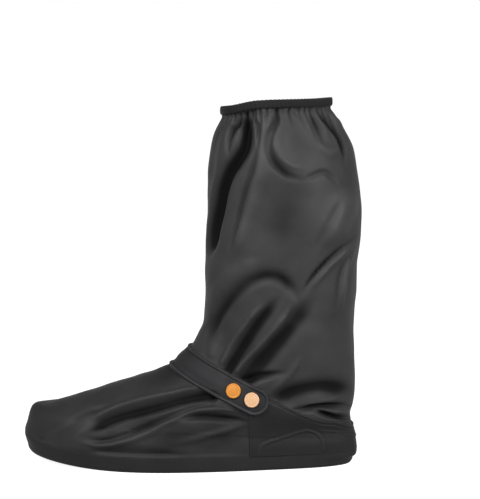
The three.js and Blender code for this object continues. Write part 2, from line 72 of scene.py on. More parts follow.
SHAFT_SECTIONS = [
    (-1.21, 0.036, 0.883, 0.018, 0.86, 2.04, 0.14, 0.06),
    (-1.097, 0.093, 0.915, 0.053, 0.88, 2.02, 0.1, 0.05),
    (-1.027, 0.142, 0.945, 0.115, 0.91, 2, 0.06, 0.035),
    (-1.02, 0.225, 0.93, 0.215, 0.95, 2, 0.03, 0.015),
    (-1.013, 0.325, 0.927, 0.335, 0.98, 2, 0, 0),
    (-1, 0.445, 0.965, 0.49, 1, 2, 0, 0),
    (-0.98, 0.57, 1.01, 0.63, 1, 2, 0, 0),
    (-0.973, 0.675, 0.986, 0.717, 0.985, 2, 0, 0),
    (-0.966, 0.76, 0.94, 0.8, 0.96, 2, 0, 0),
    (-0.932, 0.84, 0.872, 0.875, 0.91, 2, 0, 0),
    (-0.862, 0.9, 0.75, 0.932, 0.85, 2, 0, 0),
    (-0.79, 0.945, 0.6, 0.984, 0.79, 2, 0, 0),
]
SEAM = len(FOOT_SECTIONS) - 1
LAST = len(FOOT_SECTIONS) + len(SHAFT_SECTIONS) - 1
RISE, BACK_RISE = SHAFT_HEIGHT - INSTEP_HEIGHT, SHAFT_HEIGHT - COUNTER_HEIGHT
SECTIONS = np.array(
    [
        (fx * HALF_LENGTH, fz * INSTEP_HEIGHT, bx * HALF_LENGTH, bz * COUNTER_HEIGHT,
         wide * FOOT_WIDTH / 2, square, taper, sag * INSTEP_HEIGHT)
        for fx, fz, bx, bz, wide, square, taper, sag in FOOT_SECTIONS
    ]
    + [
        (SHAFT_SETBACK + fx * HALF_DEPTH, INSTEP_HEIGHT + fz * RISE,
         SHAFT_SETBACK + bx * HALF_DEPTH, COUNTER_HEIGHT + bz * BACK_RISE,
         wide * SHAFT_WIDTH / 2, square, taper, sag * INSTEP_HEIGHT)
        for fx, fz, bx, bz, wide, square, taper, sag in SHAFT_SECTIONS
    ]
)

# Folds of the cloth, seen from the side: the side, height (valleys are negative), half width and line.
# The height is in units of FOLD_DEPTH.
FOLDS = [
    (OUTER, -5.2, 5.9, [(56, 376), (56, 333), (57, 320), (55, 305), (48, 293), (40, 281),
        (34, 265), (31, 250), (27, 233), (24, 217), (21, 196)]),
    (OUTER, -2.2, 1.8, [(58, 368), (65, 334), (68, 326), (69, 314), (68, 298)]),
    (OUTER, -2.6, 2.8, [(52, 370), (49, 331), (44, 321), (41, 310), (41, 294)]),
    (OUTER, 1.4, 2.6, [(55, 366), (52, 322), (50, 311), (45, 300)]),
    (OUTER, -1.5, 2.4, [(67, 312), (66, 297), (62, 281), (55, 259), (50, 236), (42, 206)]),
    (OUTER, 1.6, 6.5, [(74, 368), (74, 299), (67, 270), (59, 242), (46, 202)]),
    (OUTER, -2.3, 3.2, [(88, 370), (85, 333), (83, 325), (79, 316), (78, 305), (82, 294),
        (93, 283), (104, 278), (114, 274)]),
    (OUTER, 1.2, 3.0, [(90, 322), (85, 310), (89, 298), (100, 289), (112, 286)]),
    (OUTER, -0.9, 10.0, [(98, 322), (106, 304), (120, 290)]),
    (OUTER, -0.9, 4.5, [(32, 334), (27, 305), (23, 280), (20, 252)]),
    (OUTER, -1.2, 2.4, [(106, 275), (122, 281), (129, 283), (136, 279), (146, 268)]),
    (OUTER, -1.9, 3.6, [(106, 368), (115, 341), (122, 328), (127, 315), (129, 303)]),
    (OUTER, -3.2, 3.4, [(105, 366), (128, 336), (137, 325), (146, 313), (149, 298), (147, 286)]),
    (OUTER, 1.8, 2.2, [(110, 366), (136, 336), (149, 323), (156, 305)]),
    (OUTER, 0.9, 5.0, [(118, 312), (127, 306), (137, 301), (148, 305)]),
    (OUTER, -1.3, 19.0, [(104, 292), (97, 266), (90, 238), (80, 204)]),
    (OUTER, 2.3, 12.0, [(158, 272), (149, 250), (140, 232), (130, 212)]),
    (OUTER, -1.0, 4.0, [(148, 262), (139, 246), (129, 226), (120, 212)]),
    (OUTER, -2.3, 5.2, [(16, 112), (22, 128), (28, 141), (36, 155), (46, 169), (59, 181),
        (75, 188), (90, 186), (102, 174), (108, 160)]),
    (OUTER, 0.8, 6.0, [(20, 152), (27, 166), (40, 184), (58, 197), (82, 203)]),
    (OUTER, -2.6, 1.9, [(164, 226), (154, 217), (142, 208), (128, 196), (117, 183), (107, 168)]),
    (OUTER, 1.3, 2.2, [(164, 219), (146, 206), (132, 193), (121, 180), (115, 171)]),
    (OUTER, -3.0, 8.6, [(43, 72), (57, 90), (69, 104), (81, 117), (93, 131), (104, 145),
        (113, 157), (123, 171)]),
    (OUTER, 1.6, 2.1, [(18, 66), (36, 105), (45, 123), (55, 138), (67, 154), (82, 166)]),
    (OUTER, -3.0, 5.2, [(22, 60), (41, 98), (48, 110), (56, 123), (66, 139), (76, 152),
        (86, 165), (92, 172)]),
    (OUTER, 2.0, 2.1, [(26, 60), (50, 98), (59, 110), (71, 123), (83, 137), (94, 151), (103, 168)]),
    (OUTER, 1.1, 2.8, [(77, 72), (87, 84), (101, 99), (112, 118)]),
    (OUTER, 0.9, 4.0, [(20, 100), (28, 118), (38, 136)]),
    (OUTER, -2.5, 3.6, [(40, 82), (58, 88), (74, 93), (98, 98)]),
    (OUTER, -2.7, 8.4, [(70, 64), (84, 69), (100, 76), (118, 80), (136, 80), (152, 75), (170, 66)]),
    (OUTER, 0.4, 1.8, [(96, 62), (112, 65), (130, 66), (148, 69), (164, 74)]),
    (OUTER, -3.0, 3.4, [(96, 58), (112, 60), (128, 61), (145, 60), (164, 57)]),
    (OUTER, 1.0, 1.8, [(124, 59), (140, 55), (160, 52)]),
    (OUTER, -3.2, 2.6, [(118, 58), (131, 54), (143, 49), (162, 43)]),
    (OUTER, 1.2, 1.8, [(164, 216), (153, 196), (148, 174), (147, 148)]),
    (OUTER, -0.8, 2.4, [(159, 214), (148, 194), (143, 172), (142, 150)]),
    (OUTER, -1.1, 8.0, [(-44, 84), (-24, 88), (-6, 98), (4, 112)]),
    (OUTER, -1.2, 11.0, [(-36, 34), (8, 30), (58, 27)]),
    (OUTER, 1.2, 1.9, [(-140, 24), (-124, 38), (-108, 49), (-89, 58), (-74, 64)]),
    (OUTER, -0.9, 1.6, [(-124, 31), (-106, 45), (-87, 55), (-66, 63)]),
    (OUTER, 1.6, 2.0, [(-114, 24), (-109, 29), (-97, 41), (-81, 52), (-61, 61), (-37, 68),
        (-11, 74), (20, 83)]),
    (OUTER, -3.2, 4.8, [(-102, 31), (-80, 45), (-56, 54), (-28, 62), (-2, 69), (16, 73), (48, 78)]),
    (OUTER, -1.3, 5.0, [(-82, 35), (-60, 41), (-36, 50), (-14, 58)]),
    (OUTER, -1.7, 2.4, [(-98, 32), (-80, 30), (-60, 35), (-44, 42), (-26, 49), (-9, 56),
        (14, 64), (32, 66)]),
    (OUTER, 1.5, 2.4, [(-104, 29), (-79, 26), (-55, 31), (-34, 39), (-19, 47), (-4, 54),
        (13, 60), (36, 62), (56, 59)]),
    (OUTER, -2.4, 3.6, [(-16, 51), (8, 55), (29, 54), (64, 49)]),
    (OUTER, 1.3, 2.8, [(-14, 27), (12, 34), (29, 38), (48, 44), (64, 48)]),
    (OUTER, -1.7, 7.0, [(-98, 12), (-78, 17), (-55, 20), (-30, 18), (6, 13)]),
    (OUTER, -0.8, 1.8, [(-152, 32), (-141, 27), (-131, 21)]),
    (OUTER, -0.8, 1.8, [(-148, 20), (-141, 25), (-134, 32)]),
    (INNER, -2.4, 3.8, [(64, 368), (58, 318), (50, 296), (44, 262), (38, 225)]),
    (INNER, 1.6, 3.6, [(74, 366), (68, 300), (60, 262), (52, 228)]),
    (INNER, -1.7, 3.0, [(86, 368), (80, 322), (82, 300), (88, 282)]),
    (INNER, -3.0, 2.8, [(118, 368), (127, 332), (134, 312), (141, 292), (144, 272), (144, 246)]),
    (INNER, 1.6, 2.8, [(124, 366), (136, 326), (146, 302), (151, 276)]),
    (INNER, 1.3, 4.0, [(158, 286), (154, 262), (150, 236)]),
    (INNER, -1.8, 4.2, [(96, 190), (78, 174), (60, 152), (44, 118)]),
    (INNER, 1.5, 3.6, [(100, 178), (84, 158), (66, 134), (52, 104)]),
    (INNER, -1.7, 4.2, [(98, 154), (88, 130), (76, 106), (66, 88)]),
    (INNER, -0.9, 11.0, [(86, 270), (82, 222), (84, 176)]),
    (INNER, 1.4, 6.0, [(154, 232), (147, 204), (150, 172)]),
    (INNER, -1.6, 4.6, [(164, 178), (150, 144), (144, 112)]),
    (INNER, 1.3, 4.6, [(164, 152), (154, 124), (143, 98)]),
    (INNER, -1.8, 2.8, [(78, 92), (88, 88), (97, 80)]),
    (INNER, 1.5, 2.8, [(80, 99), (93, 96), (102, 87)]),
    (INNER, 1.7, 5.0, [(108, 66), (132, 64), (164, 62)]),
    (INNER, -3.0, 2.8, [(104, 58), (124, 55), (142, 52), (164, 47)]),
    (INNER, -1.0, 2.2, [(126, 80), (134, 76), (141, 78)]),
    (INNER, -2.2, 4.4, [(-102, 30), (-66, 45), (-34, 58), (24, 79)]),
    (INNER, 1.5, 3.4, [(-110, 26), (-84, 31), (-44, 43), (36, 62)]),
    (INNER, -1.3, 4.0, [(-66, 30), (-20, 38), (36, 46)]),
    (INNER, -0.9, 1.8, [(-151, 24), (-139, 30), (-129, 36)]),
]

FOLD_DEPTH = 1.8
FOLD_END = 28  # the most of a fold's line over which each end fades
HEEL_FULLNESS = 4.8  # how far the heel's edge stands behind its sections
RIM_RADIUS = 60  # the mean radius of the shaft at the band
GATHER_REACH = 102  # how far down from the band pleats are looked for
EDGE_TUCK = 0.5  # how far a turned edge goes in below the cloth


def smooth(value, low, high):
    """Nothing below low, one above high and a soft climb between them."""
    share = np.clip((np.asarray(value, float) - low) / (high - low), 0, 1)
    return share * share * (3 - 2 * share)


def ridge(value, middle, width, power=2):
    """One at the middle and nothing far from it; a higher power gives steeper sides."""
    return np.exp(-(((value - middle) / width) ** power))


def signed_power(value, power):
    """A power that keeps the sign of its value."""
    return np.sign(value) * np.abs(value) ** power


def half_round(share):
    """How far a half round end is set back, in half widths, at a share of the way across."""
    return 1 - np.sqrt(np.maximum(0, 1 - (2 * share - 1) ** 2))


def along_spline(points, place):
    """Points of a smooth curve through the rows of points; place counts the rows."""
    last = len(points) - 1
    low = np.clip(np.floor(place).astype(int), 0, last)
    part = (place - low)[:, None]
    before, start = points[np.maximum(low - 1, 0)], points[low]
    end, after = points[np.minimum(low + 1, last)], points[np.minimum(low + 2, last)]
    out, into = (end - before) / 2, (after - start) / 2
    return (
        (2 * start - 2 * end + out + into) * part**3
        + (3 * end - 3 * start - 2 * out - into) * part**2
        + out * part
        + start
    )


def toe_lift(x):
    """How far the sole and toe curl up from the floor."""
    start = -0.3 * HALF_LENGTH
    return TOE_SPRING * np.maximum(0, (start - x) / (HALF_LENGTH + start)) ** 2


def toe_swing(x):
    """How far the toe turns towards the inner side."""
    return TOE_SWING * np.maximum(0, -x / HALF_LENGTH) ** 2


def smooth_cover(angle, level):
    """Points of the cover with no folds. The angle runs from the heel through the inner side to the toe."""
    form = along_spline(SECTIONS, np.clip(level, 0, LAST))
    front, back = form[:, 0:2], form[:, 2:4]
    half, square, taper, sag = form[:, 4], form[:, 5], form[:, 6], form[:, 7]
    turn_x, turn_y = np.cos(angle), np.sin(angle)
    along, aside = signed_power(turn_x, 2 / square), signed_power(turn_y, 2 / square)
    middle = front + (back - front) * (0.5 + along / 2)[:, None]
    width = half * (1 - taper * smooth(along, -0.3, 0.75))
    on_foot = 1 - smooth(level, SEAM - 2, SEAM)
    fullness = (1 - smooth(level, 0.4, 2.2)) * (0.54 + 0.46 * smooth(level, 0, 0.35))
    x = middle[:, 0] + HEEL_FULLNESS * fullness * smooth(along, 0.7, 1)
    y = aside * width + toe_swing(x) * on_foot
    z = middle[:, 1] - sag * turn_y**2 + toe_lift(x) * on_foot
    return np.stack([x, y, z], 1)


def outward(angle, level):
    """Outward directions of the smooth cover."""
    step = 0.004
    low = np.clip(level - step, 0, LAST - 2 * step)
    around = smooth_cover(angle + step, level) - smooth_cover(angle - step, level)
    up = smooth_cover(angle, low + 2 * step) - smooth_cover(angle, low)
    normal = np.cross(around, up)
    return normal / np.linalg.norm(normal, axis=1, keepdims=True)


def rim_level(angle):
    """The level of the shaft's top, once for each angle."""
    return np.full(len(angle), float(LAST))


def level_where(angle, rule):
    """The levels at which a rule, which grows upwards, crosses nothing."""
    low, high = np.zeros(len(angle)), np.full(len(angle), float(LAST))
    for _ in range(22):
        middle = (low + high) / 2
        below = rule(smooth_cover(angle, middle)) < 0
        low, high = np.where(below, middle, low), np.where(below, high, middle)
    return low


def angle_where(side, x, rule):
    """The angles on one side at which a rule's line reaches each place along the foot."""
    low, high = np.zeros(len(x)), np.full(len(x), math.pi)
    for _ in range(22):
        middle = (low + high) / 2
        behind = smooth_cover(side * middle, level_where(side * middle, rule))[:, 0] > x
        low, high = np.where(behind, middle, low), np.where(behind, high, middle)
    return side * low


INSTEP_X, INSTEP_Z = SECTIONS[SEAM, 0], SECTIONS[SEAM, 1]
STRAP_SLANT = math.hypot(1, STRAP_SLOPE)  # the length along the strap for one length along the foot
STRAP_RISE = STRAP_WIDTH * STRAP_SLANT


def strap_height(x):
    """The height of the strap's middle line, seen from the side."""
    return INSTEP_Z - STRAP_SLOPE * (x - INSTEP_X)


def counter_top(x):
    """The upper edge of the heel counter, seen from the side."""
    before = COUNTER_CLIMB * HALF_LENGTH - x
    climb = COUNTER_SLOPE * (before + np.hypot(before, STRAP_STEP)) / 2
    return np.minimum(COUNTER_HEIGHT + climb, strap_height(x) + STRAP_RISE / 3)


def from_box(up, along):
    """The distance to a region from what a place is above and before it, negative inside."""
    return np.hypot(np.maximum(0, up), np.maximum(0, along)) + np.minimum(0, np.maximum(up, along))


def fold_height(points):
    """The height of the folds at places of the smooth cover."""
    height = np.zeros(len(points))
    seen = points[:, [0, 2]]
    for side, deep, wide, path in FOLDS:
        knots = np.array(path, float)
        line = along_spline(knots, np.linspace(0, len(knots) - 1, 8 * len(knots)))
        reach = 3 * wide
        near = np.all((seen > line.min(0) - reach) & (seen < line.max(0) + reach), axis=1)
        near &= side * points[:, 1] > 0
        if not near.any():
            continue
        # The nearest place on the line, by its stretch and the share of that stretch.
        spot = seen[near]
        start, run = line[:-1], np.diff(line, axis=0)
        gone = spot[:, None] - start[None]
        share = np.clip((gone * run[None]).sum(2) / (run**2).sum(1)[None], 0, 1)
        away = np.linalg.norm(gone - share[..., None] * run[None], axis=2)
        best = away.argmin(1)
        rows = np.arange(len(best))
        lengths = np.linalg.norm(run, axis=1)
        travel = (np.cumsum(lengths) - lengths)[best] + share[rows, best] * lengths[best]
        ending = min(0.38 * lengths.sum(), FOLD_END)
        # A fold fades and narrows towards both of its ends, and its top is flatter than a bell curve's.
        fade = smooth(travel, 0, ending) * smooth(lengths.sum() - travel, 0, ending)
        on_side = smooth(side * points[near, 1], 2, 16)
        spread = away[rows, best] / (wide * (0.5 + 0.5 * fade))
        height[near] += FOLD_DEPTH * deep * np.exp(-(spread**2.6)) * fade * on_side
    return height


def clear_of(points, angle, level):
    """How far a place is from the strap, the counter and the placket, in millimetres."""
    x, y, z = points.T
    reach = INSTEP_X + np.where(y > 0, STRAP_ROOT_REACH, STRAP_REACH)
    strap = from_box(np.abs(z - strap_height(x)) - STRAP_RISE / 2, x - reach)
    counter = from_box(z - counter_top(x), COUNTER_FRONT - x)
    turned = np.abs((angle + math.pi) % (2 * math.pi) - math.pi - PLACKET_ANGLE)
    placket = from_box(PLACKET_FOOT - z, turned * HALF_DEPTH - PLACKET_WIDTH / 2 - ZIP_WIDTH)
    placket = np.where(z < PLACKET_FOOT, np.maximum(placket, 0), turned * HALF_DEPTH - PLACKET_WIDTH / 2)
    return strap, counter, placket


def pleats():
    """The small pleats under the band: angle, half width, depth and length of each."""
    random = np.random.default_rng(7)
    found = []
    angle = 0.0
    while angle < 2 * math.pi:
        wide, deep = random.uniform(0.9, 1.9), random.uniform(1.2, 3.6)
        found.append((angle, wide, deep, random.choice([5, 7, 9, 12, 22])))
        angle += random.uniform(4.0, 8.5) / RIM_RADIUS
    return found


PLEATS = pleats()


def gather_height(below, angle):
    """The height of the small pleats, which fade downwards from the band."""
    height = np.zeros(len(below))
    near = below < GATHER_REACH
    turn, drop = angle[near] % (2 * math.pi), below[near]
    for middle, wide, deep, reach in PLEATS:
        away = np.abs((turn - middle + math.pi) % (2 * math.pi) - math.pi) * RIM_RADIUS / wide
        fade = smooth(drop, -3, 1) * np.exp(-((drop / reach) ** 2))
        height[near] -= deep * np.exp(-away * away) * fade
    return height


def crumple(points, size, seed):
    """Soft random swells of the cloth, between about -1 and 1."""
    shift = Vector((seed * 7.3, seed * 3.1, seed * 5.7))
    return np.array([noise.noise(Vector(p) / size + shift) for p in points])


def band_rise(angle):
    """How far the band is drawn up above its even ring, most towards the front of the outer side."""
    back = 0.5 + np.cos(angle) / 2
    outer = 3.1 * smooth(back, 0.03, 0.34) - 3.0 * smooth(back, 0.3, 1)
    return 1.1 + outer * smooth(-np.sin(angle), 0, 0.2)


def relief(points, angle, level):
    """The height of folds, swells and pleats at places of the smooth cover."""
    strap, counter, placket = clear_of(points, angle, level)
    folds = fold_height(points)
    # A valley runs on a little way under the strap and the counter, and a ridge stops short of them.
    under = smooth(strap, -7, 0) * smooth(counter, -6, 1)
    short = smooth(strap, 0.5, 7) * smooth(counter, 0.0, 6)
    folds = np.where(folds < 0, folds * under, folds * short)
    swell = 1.3 * crumple(points, 34, 1) + 0.5 * crumple(points, 15, 2)
    swell *= smooth(strap, -2, 6) * smooth(counter, -2, 6)
    height = folds + swell
    # Both flatten towards the band, where the pleats take over.
    drop = smooth_cover(angle, rim_level(angle))[:, 2] + band_rise(angle) - points[:, 2]
    height = np.where(height < 0, height * (0.2 + 0.8 * smooth(drop, 0, 12)), height * smooth(drop, 0, 18))
    height += gather_height(drop, angle)
    # The placket and the rand have none.
    return height * smooth(placket, -3, 7) * smooth(level, 0.95, 1.5)


def cover(angle, level, out=0.0):
    """Points of the folded cover, or at a distance outwards from it, and the height of its folds there."""
    points = smooth_cover(angle, level)
    folds = relief(points, angle, level)
    return points + outward(angle, level) * (folds + out)[:, None], folds


def to_metres(points):
    return (points - ORIGIN) * MM


def finish_piece(mesh, name, material, wall=0.0):
    """Makes a mesh a smooth object that rides on the root, with a material and an inward wall where asked."""
    data = bpy.data.meshes.new(name)
    mesh.to_mesh(data)
    mesh.free()
    data.polygons.foreach_set("use_smooth", [True] * len(data.polygons))
    piece = bpy.data.objects.new(name, data)
    bpy.context.collection.objects.link(piece)
    data.materials.append(material)
    if wall:
        thick = piece.modifiers.new("wall", "SOLIDIFY")
        thick.thickness = wall * MM
        thick.offset = -1
    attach(piece, "root")
    return piece


def skin(columns, rows, place, size):
    """A flat grid whose corners place() moves. It keeps the value that the painted shade reads, mostly how
    far each is raised, and a weave map of a size.
    """
    mesh = bmesh.new()
    weave = mesh.loops.layers.uv.new("weave")
    raised = mesh.verts.layers.float.new("raised")
    bmesh.ops.create_grid(mesh, x_segments=columns, y_segments=rows, size=0.5, calc_uvs=True)
    flat = np.array([vert.co for vert in mesh.verts]) + 0.5
    moved, heights = place(flat[:, 0], flat[:, 1])
    for vert, spot, height in zip(mesh.verts, to_metres(moved), heights):
        vert.co = spot
        vert[raised] = height
    wide, tall = size[0] * MM, size[1] * MM
    for face in mesh.faces:
        for loop in face.loops:
            loop[weave].uv = (loop[weave].uv.x * wide, loop[weave].uv.y * tall)
    bmesh.ops.remove_doubles(mesh, verts=mesh.verts, dist=1e-6)
    return mesh


# Materials

def new_material(name):
    """A material with its node tree and its shader."""
    material = bpy.data.materials.new(name)
    material.use_nodes = True
    tree = material.node_tree
    return material, tree, tree.nodes["Principled BSDF"]


def node(tree, kind, **values):
    """A node with its inputs, or else its own settings, set by name."""
    made = tree.nodes.new(kind)
    for key, value in values.items():
        if key in made.inputs:
            made.inputs[key].default_value = value
        else:
            setattr(made, key, value)
    return made


WAVE_PITCH = 0.314  # one band of a wave texture is this over its scale

# Painted shade and highlight: how light the cloth is painted at heights above and below its smooth shape, in
# millimetres, darker in the valleys and paler on the ridges.
PAINTED_SHADE_STOPS = [
    (-12.0, 0.12), (-6.0, 0.2), (-4.6, 0.28), (-3.4, 0.55), (-2.0, 0.8),
    (-0.8, 0.92), (0.3, 1.0), (2.0, 1.14), (6.0, 1.5),
]


def add_ramp(tree, source, stops):
    """A colour ramp over a value, with its stops as places and colours."""
    made = node(tree, "ShaderNodeValToRGB")
    elements = made.color_ramp.elements
    elements[0].position, elements[1].position = stops[0][0], stops[-1][0]
    for place, _ in stops[1:-1]:
        elements.new(place)
    for element, (_, colour) in zip(elements, stops):
        element.color = (*colour, 1)
    tree.links.new(source, made.inputs["Fac"])
    return made.outputs["Color"]


def add_bump(tree, height, strength, distance, normal=None):
    """A bump of a height, over another bump's normal where there is one."""
    made = node(tree, "ShaderNodeBump", Strength=strength, Distance=distance)
    tree.links.new(height, made.inputs["Height"])
    if normal:
        tree.links.new(normal, made.inputs["Normal"])
    return made.outputs["Normal"]


def add_noise(tree, place, **values):
    """Noise on the object's own places, in metres."""
    made = node(tree, "ShaderNodeTexNoise", **values)
    tree.links.new(place.outputs["Object"], made.inputs["Vector"])
    return made.outputs["Fac"]


def add_weave(tree, place, size):
    """The threads of a plain weave on the weave map."""
    both = node(tree, "ShaderNodeMath", operation="MULTIPLY")
    for way, entry in zip("XY", both.inputs):
        threads = node(tree, "ShaderNodeTexWave", bands_direction=way, Scale=WAVE_PITCH / size)
        tree.links.new(place.outputs["UV"], threads.inputs["Vector"])
        tree.links.new(threads.outputs["Fac"], entry)
    return both.outputs["Value"]


def add_painted_shade(tree):
    """Painted shade and highlight: how light the cloth is painted, by how far it is raised."""
    low, high = PAINTED_SHADE_STOPS[0][0], PAINTED_SHADE_STOPS[-1][0]
    depth = node(tree, "ShaderNodeAttribute", attribute_name="raised")
    span = node(tree, "ShaderNodeMapRange", **{"From Min": low, "From Max": high})
    tree.links.new(depth.outputs["Fac"], span.inputs["Value"])
    stops = [((raised - low) / (high - low), (grey, grey, grey)) for raised, grey in PAINTED_SHADE_STOPS]
    return add_ramp(tree, span.outputs["Result"], stops)


def fabric(
    name, colour, roughness, specular, weave_size=0.0005, weave_depth=0.00003, crinkle=0.0004, sheen=0.02
):
    """Coated cloth: a fine plain weave under a satin coating, with tiny crinkles, painted shade in its
    valleys and painted highlights on its ridges.

    The size and depth of the weave and the depth of the crinkles are in metres.
    """
    material, tree, shader = new_material(name)
    link = tree.links.new
    shader.inputs["Sheen Weight"].default_value = sheen
    shader.inputs["Sheen Roughness"].default_value = 0.4
    place = node(tree, "ShaderNodeTexCoord")
    cloud = add_noise(tree, place, Scale=28.0, Detail=4.0, Roughness=0.6)
    cloudy = [(0.3, [c * 0.82 for c in colour]), (0.75, [c * 1.2 for c in colour])]
    painted_tone = add_painted_shade(tree)
    # The specular level follows the painted shade too, so reflections are dimmed in the valleys and raised on
    # the ridges.
    shine = node(tree, "ShaderNodeMath", operation="MULTIPLY")
    shine.inputs[1].default_value = specular
    link(painted_tone, shine.inputs[0])
    link(shine.outputs["Value"], shader.inputs["Specular IOR Level"])
    # The base colour is the random mottle multiplied by the painted shade and highlight.
    deepened = node(tree, "ShaderNodeMix", data_type="RGBA", blend_type="MULTIPLY", clamp_factor=False)
    deepened.inputs["Factor"].default_value = 1.0
    link(add_ramp(tree, cloud, cloudy), deepened.inputs[6])
    link(painted_tone, deepened.inputs[7])
    link(deepened.outputs[2], shader.inputs["Base Color"])
    rough = node(tree, "ShaderNodeMapRange", **{"To Min": roughness - 0.06, "To Max": roughness + 0.08})
    link(add_noise(tree, place, Scale=900.0, Detail=2.0), rough.inputs["Value"])
    link(rough.outputs["Result"], shader.inputs["Roughness"])
    threads = add_bump(tree, add_weave(tree, place, weave_size), 0.6, weave_depth)
    crinkled = add_noise(tree, place, Scale=130.0, Detail=5.0, Roughness=0.55)
    link(add_bump(tree, crinkled, 0.7, crinkle, threads), shader.inputs["Normal"])
    return material


def metal(name, colour, rim, roughness):
    """A lacquered press-fastener cap: satin and slightly mottled between two colours."""
    material, tree, shader = new_material(name)
    link = tree.links.new
    shader.inputs["Metallic"].default_value = 0.15
    shader.inputs["Roughness"].default_value = roughness
    shader.inputs["Specular IOR Level"].default_value = 0.2
    place = node(tree, "ShaderNodeTexCoord")
    cloud = add_noise(tree, place, Scale=220.0, Detail=3.0)
    link(add_ramp(tree, cloud, [(0, rim), (1, colour)]), shader.inputs["Base Color"])
    scratch = add_noise(tree, place, Scale=1500.0, Detail=2.0)
    link(add_bump(tree, scratch, 0.15, 0.0001), shader.inputs["Normal"])
    return material


cloth = fabric("coated_cloth", (0.0075, 0.0075, 0.0077), 0.6, 0.08)
# The foot's cloth is a darker copy of the shaft's cloth; the darkening is painted shade for the dimmer light
# on the foot.
foot_cloth = fabric("foot_cloth", (0.0052, 0.0052, 0.0053), 0.6, 0.06)
counter_cloth = fabric("counter_cloth", (0.0039, 0.0037, 0.0040), 0.6, 0.06)
sole_rubber = fabric(
    "sole_rubber", (0.0046, 0.0046, 0.0047), 0.62, 0.06,
    weave_size=0.0012, weave_depth=0.00005, crinkle=0.0002, sheen=0.01,
)
strap_cloth = fabric(
    "strap_cloth", (0.0047, 0.0045, 0.0049), 0.6, 0.06,
    weave_size=0.0007, weave_depth=0.00006, crinkle=0.00015,
)
band_cloth = fabric(
    "band_cloth", (0.0040, 0.0040, 0.0041), 0.8, 0.03,
    weave_size=0.0006, weave_depth=0.00008, crinkle=0.0006,
)
zip_cloth = fabric(
    "zip_tape", (0.0030, 0.0030, 0.0031), 0.6, 0.08,
    weave_size=0.0008, weave_depth=0.0001, crinkle=0.0001,
)
gold = metal("gold_cap", (0.128, 0.044, 0.0004), (0.156, 0.056, 0.0012), 0.5)
pale = metal("pale_cap", (0.162, 0.096, 0.052), (0.195, 0.116, 0.063), 0.5)
dark = metal("dark_cap", (0.006, 0.006, 0.0065), (0.01, 0.01, 0.0105), 0.2)


# The shaft, the foot and the sole

AROUND = 230  # columns of the foot and of the sole
TOE_ROUNDS = 220


def make_shaft():
    """The shaft's cloth from the ankle seam to the inside of the band."""
    open_share, inside = 0.97, 4  # the share of the rows below the band, and how far the rest goes inside it

    def place(u, v):
        angle, share = u * 2 * math.pi, np.minimum(v / open_share, 1)
        level = SEAM + share * (LAST - SEAM)
        points = smooth_cover(angle, level)
        band_foot = band_rise(angle) + BAND_LIFT
        rise = np.maximum(0, v - open_share) / (1 - open_share) * (band_foot + inside)
        folds = relief(points, angle, level) * (1 - smooth(rise - band_foot, -1, 2))
        points += outward(angle, level) * folds[:, None]
        points[:, 2] += rise
        return points, folds

    mesh = skin(256, 160, place, (415, 305))
    piece = finish_piece(mesh, "shaft_cloth", cloth, 1.0)
    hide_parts("shaft")


def soften_toe(points, u, v):
    """Rounds the edge where the toe's wall meets its top, except at the pinched tip."""
    order = np.lexsort((u, v))
    grid = points[order].reshape(-1, AROUND + 1, 3)[:, :-1]
    at_toe = 1 - smooth(grid[..., 0], -118, -80)
    above_rand = smooth(grid[..., 2], 22, 34)
    off_tip = smooth(np.abs(grid[..., 1] - TOE_SWING), 3, 24)
    weight = at_toe * above_rand * off_tip * 0.5
    for _ in range(TOE_ROUNDS):
        across = (np.roll(grid, 1, 1) + np.roll(grid, -1, 1)) / 2
        upward = grid.copy()
        upward[1:-1] = (grid[:-2] + grid[2:]) / 2
        grid = grid + ((across + upward) / 2 - grid) * weight[..., None]
    softened = points.copy()
    softened[order] = np.concatenate([grid, grid[:, :1]], 1).reshape(-1, 3)
    return softened


def make_foot():
    """The foot's cloth from the rand to the ankle seam."""

    def place(u, v):
        points, folds = cover(u * 2 * math.pi, 1 + v * (SEAM - 1))
        return soften_toe(points, u, v), folds

    mesh = skin(AROUND, 120, place, (800, 140))
    piece = finish_piece(mesh, "foot_cloth", foot_cloth, 1.0)
    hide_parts("foot_upper")


def make_sole():
    """A shallow cup: a plate that curls up at the toe and a thin rand, flush with the cloth above it."""
    plate, bend = 0.5, 0.62  # the shares of the rows at which the plate and the bend round its edge end
    length, width = 0.985, 0.955  # the plate's, as shares of the rim's

    def place(u, v):
        angle = u * 2 * math.pi
        rim = cover(angle, np.zeros(len(u)))[0]
        level = np.clip((v - bend) / (1 - bend), 0, 1) * 1.1
        side = cover(angle, level, -0.9 * smooth(level, 0.99, 1.04))[0]
        share = np.clip(v / plate, 0, 1)
        x = rim[:, 0] * share * length
        y = toe_swing(x) + (rim[:, 1] - toe_swing(rim[:, 0])) * share * width
        flat = np.stack([x, y, toe_lift(x)], 1)
        turn = smooth(v, plate, bend)[:, None]
        bent = flat * (1 - turn) + rim * turn
        climb = np.clip((v - plate) / (bend - plate), 0, 1) ** 1.8
        bent[:, 2] = flat[:, 2] + (rim[:, 2] - flat[:, 2]) * climb
        return np.where((v < bend)[:, None], bent, side), np.zeros(len(v))

    mesh = skin(AROUND, 50, place, (800, 90))
    piece = finish_piece(mesh, "sole_cup", sole_rubber, 1.6)
    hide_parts("outsole")


# Layers on the cover: the counter, the strap, the placket and the zip

def hem(edge, width, rise):
    """A rolled hem: a raised border, a groove at its stitching, and an edge that turns under."""
    roll = rise * ridge(edge, width * 0.5, width * 0.4, 4)
    groove = -0.45 * ridge(edge, width * 1.1, 0.7)
    turned = 1 - smooth(edge, -0.1, 0.8)
    return roll + groove, turned


